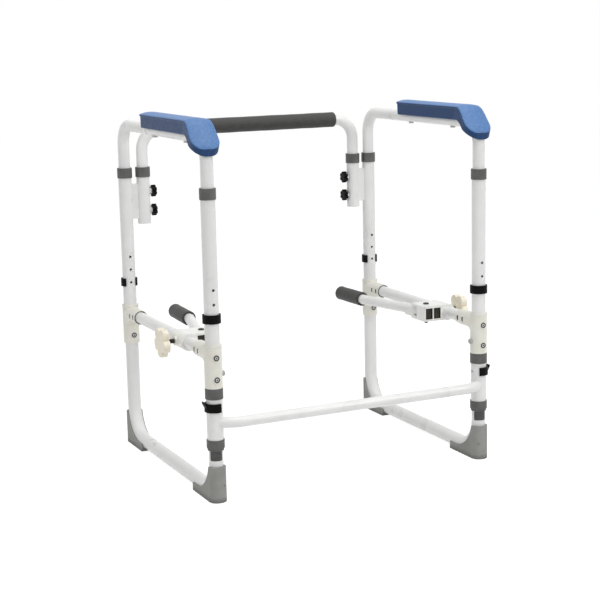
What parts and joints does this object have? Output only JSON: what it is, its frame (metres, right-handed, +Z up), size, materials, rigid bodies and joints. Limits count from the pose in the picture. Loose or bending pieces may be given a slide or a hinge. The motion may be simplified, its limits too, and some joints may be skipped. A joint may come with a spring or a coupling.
{
  "type": "toilet safety frame",
  "caption": "Free-standing toilet safety frame of white steel tube with padded height-adjustable arms, padded back bar, front crossbar and swinging side clamps with foam rollers.",
  "frame": {"origin": "on the floor, under the middle of the frame's bounding box", "axes": "+Z up, +X to the right of the person who sits in the frame facing -Y, seen from behind; +Y to the back bar"},
  "size_m": [0.624, 0.4728, 0.658],
  "materials": {
    "white_steel": "white powder coat, semi-gloss",
    "ivory_plastic": "ivory moulded plastic, satin",
    "grey_plastic": "dark grey moulded plastic",
    "grey_rubber": "mid-grey moulded rubber, matt",
    "black_plastic": "black moulded plastic",
    "blue_pad": "blue moulded self-skinned foam, finely grained",
    "charcoal_foam": "charcoal closed-cell foam, matt",
    "zinc_steel": "zinc-plated steel",
    "black_steel": "blackened steel thread"
  },
  "bodies": {
    "frame": {"left_lower_frame": "white_steel", "right_lower_frame": "white_steel", "left_front_boot": "grey_rubber", "right_front_boot": "grey_rubber", "left_rear_boot": "grey_rubber", "right_rear_boot": "grey_rubber", "left_front_tee": "ivory_plastic", "right_front_tee": "ivory_plastic", "left_rear_tee": "ivory_plastic", "right_rear_tee": "ivory_plastic", "left_tee_screws": "zinc_steel", "right_tee_screws": "zinc_steel", "left_front_upright": "white_steel", "right_front_upright": "white_steel", "left_rear_upright": "white_steel", "right_rear_upright": "white_steel", "left_back_socket": "white_steel", "right_back_socket": "white_steel", "left_side_rail": "white_steel", "right_side_rail": "white_steel", "left_rail_bushes": "black_plastic", "right_rail_bushes": "black_plastic", "left_collars": "grey_plastic", "right_collars": "grey_plastic", "left_height_clips": "black_plastic", "right_height_clips": "black_plastic", "left_crossbar_sleeve": "white_steel", "right_crossbar_sleeve": "white_steel", "left_sleeve_top_collar": "grey_plastic", "right_sleeve_top_collar": "grey_plastic", "left_sleeve_bottom_collar": "grey_plastic", "right_sleeve_bottom_collar": "grey_plastic", "left_sleeve_clip": "black_plastic", "right_sleeve_clip": "black_plastic", "front_crossbar": "white_steel"},
    "back_rest": {"back_bar": "white_steel", "back_foam": "charcoal_foam"},
    "left_arm": {"left_arm_tube": "white_steel", "left_arm_pad": "blue_pad", "left_pad_screws": "zinc_steel"},
    "left_upper_knob": {"left_upper_star_knob": "black_plastic"},
    "left_lower_knob": {"left_lower_star_knob": "black_plastic"},
    "left_slider": {"left_clamp_block": "ivory_plastic", "left_clamp_pivot": "zinc_steel"},
    "left_swing": {"left_swing_arm": "white_steel", "left_clamp_roller": "charcoal_foam"},
    "left_clamp_screw": {"left_clamp_knob": "ivory_plastic", "left_clamp_stud": "black_steel"},
    "right_arm": {"right_arm_tube": "white_steel", "right_arm_pad": "blue_pad", "right_pad_screws": "zinc_steel"},
    "right_upper_knob": {"right_upper_star_knob": "black_plastic"},
    "right_lower_knob": {"right_lower_star_knob": "black_plastic"},
    "right_slider": {"right_clamp_block": "ivory_plastic", "right_clamp_pivot": "zinc_steel"},
    "right_swing": {"right_swing_arm": "white_steel", "right_clamp_roller": "charcoal_foam"},
    "right_clamp_screw": {"right_clamp_knob": "ivory_plastic", "right_clamp_stud": "black_steel"}
  },
  "joints": [
    {"name": "left_arm_height", "type": "slide", "parent": "frame", "child": "left_arm", "axis": [0, 0, 1], "range_m": [0, 0.05]},
    {"name": "right_arm_height", "type": "slide", "parent": "frame", "child": "right_arm", "axis": [0, 0, 1], "range_m": [0, 0.05]},
    {"name": "back_rest_height", "type": "slide", "parent": "frame", "child": "back_rest", "axis": [0, 0, 1], "range_m": [-0.015, 0.04]},
    {"name": "left_upper_knob_turn", "type": "hinge", "parent": "frame", "child": "left_upper_knob", "pos_m": [-0.2285, 0.2202, 0.496], "axis": [1, 0, 0], "continuous": true},
    {"name": "left_lower_knob_turn", "type": "hinge", "parent": "frame", "child": "left_lower_knob", "pos_m": [-0.2285, 0.2202, 0.459], "axis": [1, 0, 0], "continuous": true},
    {"name": "right_upper_knob_turn", "type": "hinge", "parent": "frame", "child": "right_upper_knob", "pos_m": [0.2285, 0.2202, 0.496], "axis": [-1, 0, 0], "continuous": true},
    {"name": "right_lower_knob_turn", "type": "hinge", "parent": "frame", "child": "right_lower_knob", "pos_m": [0.2285, 0.2202, 0.459], "axis": [-1, 0, 0], "continuous": true},
    {"name": "left_clamp_slide", "type": "slide", "parent": "frame", "child": "left_slider", "axis": [0, 1, 0], "range_m": [-0.04, 0.09]},
    {"name": "left_clamp_swing", "type": "hinge", "parent": "left_slider", "child": "left_swing", "pos_m": [-0.232, -0.0713, 0.26], "axis": [0, 0, -1], "range_deg": [-11, 15]},
    {"name": "left_clamp_screw_turn", "type": "hinge", "parent": "left_slider", "child": "left_clamp_screw", "pos_m": [-0.3, -0.0713, 0.26], "axis": [-1, 0, 0], "continuous": true},
    {"name": "right_clamp_slide", "type": "slide", "parent": "frame", "child": "right_slider", "axis": [0, 1, 0], "range_m": [-0.04, 0.09]},
    {"name": "right_clamp_swing", "type": "hinge", "parent": "right_slider", "child": "right_swing", "pos_m": [0.232, -0.0713, 0.26], "axis": [0, 0, 1], "range_deg": [-11, 15]},
    {"name": "right_clamp_screw_turn", "type": "hinge", "parent": "right_slider", "child": "right_clamp_screw", "pos_m": [0.3, -0.0713, 0.26], "axis": [1, 0, 0], "continuous": true}
  ]
}
